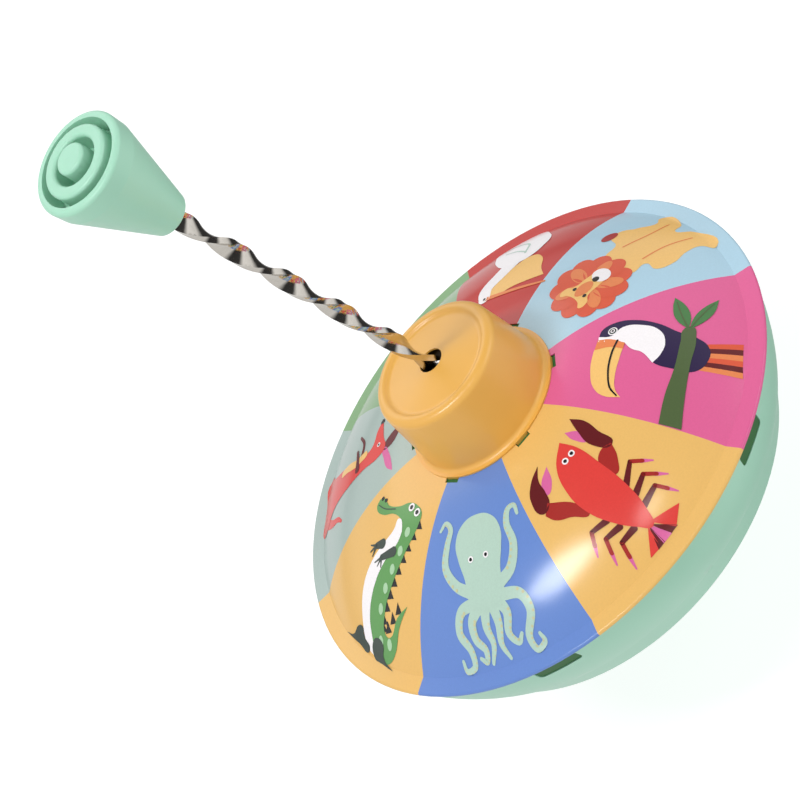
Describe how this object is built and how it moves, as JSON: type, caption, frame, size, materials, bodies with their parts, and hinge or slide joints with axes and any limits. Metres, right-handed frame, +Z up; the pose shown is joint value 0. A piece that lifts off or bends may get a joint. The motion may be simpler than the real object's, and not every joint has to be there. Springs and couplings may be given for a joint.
{
  "type": "spinning top",
  "caption": "Pump-action humming top: a printed tin dome over a moulded base, driven by a twisted steel spindle with a conical knob.",
  "frame": {"origin": "lowest point of the foot, on the body's axis", "axes": "+Z up the body's axis from the foot to the cap; the drawn-out spindle leans towards -X"},
  "size_m": [0.18, 0.18, 0.2822],
  "materials": {
    "printed_tin": "glossy lithographed tin, eight coloured fields",
    "yellow_tin": "satin lacquered tin",
    "mint_plastic": "smooth moulded plastic, soft sheen",
    "green_plastic": "matt moulded plastic",
    "black_plastic": "matt nylon",
    "bright_steel": "bright rolled strip",
    "steel": "turned and pressed steel",
    "tube_tin": "plain tinplate",
    "brass": "rolled brass strip",
    "rubber": "moulded rubber"
  },
  "bodies": {
    "top_body": {"top_shell": "printed_tin", "base_shell": "mint_plastic", "reed_ring": "green_plastic", "reeds": "brass", "reed_rivets": "brass", "turret_cap": "yellow_tin", "clutch_housing": "green_plastic", "ratchet_ring": "black_plastic", "guide_tube": "tube_tin", "foot_socket": "green_plastic", "foot_rivets": "steel", "foot_pin": "steel", "foot_clip": "steel"},
    "foot": {"foot": "mint_plastic", "thrust_ball": "steel", "foot_bush": "brass"},
    "ratchet": {"ratchet_wheel": "black_plastic", "wheel_washer": "black_plastic"},
    "drive": {"drive_plate": "steel"},
    "spindle_stop": {"buffer": "rubber", "stop_washer": "steel"},
    "spindle": {"spindle": "bright_steel", "end_ferrule": "steel", "knob": "mint_plastic", "knob_plug": "mint_plastic", "knob_washer": "steel", "push_nut": "steel"}
  },
  "joints": [
    {"name": "foot_spin", "type": "hinge", "parent": "top_body", "child": "foot", "pos_m": [0, 0, 0.004], "axis": [0, 0, 1], "continuous": true},
    {"name": "clutch_freewheel", "type": "hinge", "parent": "top_body", "child": "ratchet", "pos_m": [0, 0, 0.12555], "axis": [0, 0, 1], "continuous": true},
    {"name": "spindle_lean", "type": "hinge", "parent": "ratchet", "child": "drive", "pos_m": [0, 0, 0.12555], "axis": [0, 1, 0], "range_deg": [0, 10.1]},
    {"name": "spindle_pump", "type": "slide", "parent": "drive", "child": "spindle_stop", "axis": [-0.1754, 0, 0.9845], "range_m": [-0.096, 0]},
    {"name": "spindle_twist", "type": "hinge", "parent": "spindle_stop", "child": "spindle", "pos_m": [0, 0, 0.12555], "axis": [-0.1754, 0, 0.9845], "range_deg": [0, 755.1]}
  ],
  "couplings": [
    {"joint": "spindle_lean", "follows": "spindle_pump", "rad_per_m": -1.836},
    {"joint": "spindle_twist", "follows": "spindle_pump", "rad_per_m": -137.19}
  ]
}
